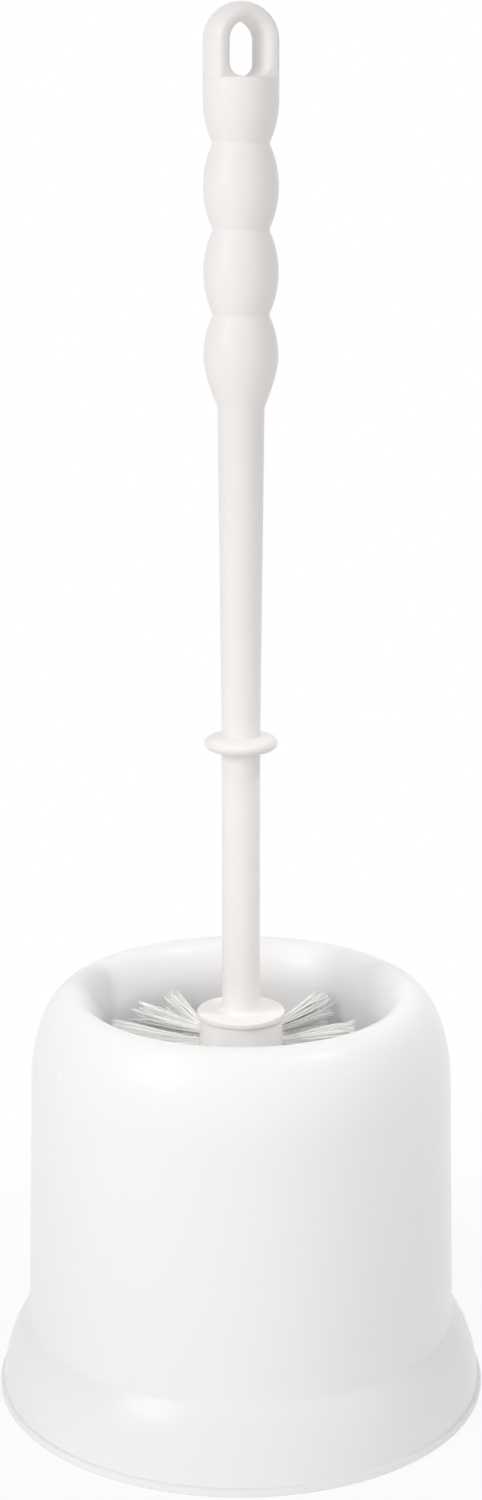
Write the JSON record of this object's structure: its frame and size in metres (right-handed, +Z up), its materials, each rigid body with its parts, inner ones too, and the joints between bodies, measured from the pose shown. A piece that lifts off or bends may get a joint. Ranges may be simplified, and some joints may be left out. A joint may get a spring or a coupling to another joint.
{
  "type": "toilet brush and holder",
  "caption": "White toilet brush with a beaded grip, hang loop and drip collar, standing in a round bell-shaped holder with a rolled mouth and flared foot.",
  "frame": {"origin": "centre of the holder's base, on the surface that it stands on", "axes": "+Z up along the brush's stem; the hang hole in the handle runs along Y; X is across the loop"},
  "size_m": [0.1366, 0.1366, 0.3765],
  "materials": {
    "holder_plastic": "cool white moulded plastic, glossy",
    "handle_plastic": "warm white moulded plastic, satin to gloss",
    "core_plastic": "warm white moulded plastic",
    "bristle": "fine translucent white filaments"
  },
  "bodies": {
    "holder": {"holder_shell": "holder_plastic"},
    "brush": {"brush_handle": "handle_plastic", "brush_core": "core_plastic", "tuft_ring1_01": "bristle", "tuft_ring1_02": "bristle", "tuft_ring1_03": "bristle", "tuft_ring1_04": "bristle", "tuft_ring1_05": "bristle", "tuft_ring1_06": "bristle", "tuft_ring1_07": "bristle", "tuft_ring1_08": "bristle", "tuft_ring2_01": "bristle", "tuft_ring2_02": "bristle", "tuft_ring2_03": "bristle", "tuft_ring2_04": "bristle", "tuft_ring2_05": "bristle", "tuft_ring2_06": "bristle", "tuft_ring2_07": "bristle", "tuft_ring2_08": "bristle", "tuft_ring3_01": "bristle", "tuft_ring3_02": "bristle", "tuft_ring3_03": "bristle", "tuft_ring3_04": "bristle", "tuft_ring3_05": "bristle", "tuft_ring3_06": "bristle", "tuft_ring3_07": "bristle", "tuft_ring3_08": "bristle", "tuft_ring4_01": "bristle", "tuft_ring4_02": "bristle", "tuft_ring4_03": "bristle", "tuft_ring4_04": "bristle", "tuft_ring4_05": "bristle", "tuft_ring4_06": "bristle", "tuft_ring4_07": "bristle", "tuft_ring4_08": "bristle", "tuft_ring5_01": "bristle", "tuft_ring5_02": "bristle", "tuft_ring5_03": "bristle", "tuft_ring5_04": "bristle", "tuft_ring5_05": "bristle", "tuft_ring5_06": "bristle", "tuft_ring5_07": "bristle", "tuft_ring5_08": "bristle", "tuft_ring6_01": "bristle", "tuft_ring6_02": "bristle", "tuft_ring6_03": "bristle", "tuft_ring6_04": "bristle", "tuft_ring6_05": "bristle", "tuft_ring6_06": "bristle", "tuft_ring6_07": "bristle", "tuft_ring6_08": "bristle", "tuft_end_01": "bristle", "tuft_end_02": "bristle", "tuft_end_03": "bristle", "tuft_end_04": "bristle", "tuft_end_05": "bristle", "tuft_end_06": "bristle", "tuft_end_centre": "bristle"}
  },
  "joints": [
    {"name": "brush_lift", "type": "slide", "parent": "holder", "child": "brush", "axis": [0, 0, 1], "range_m": [0, 0.12]}
  ]
}
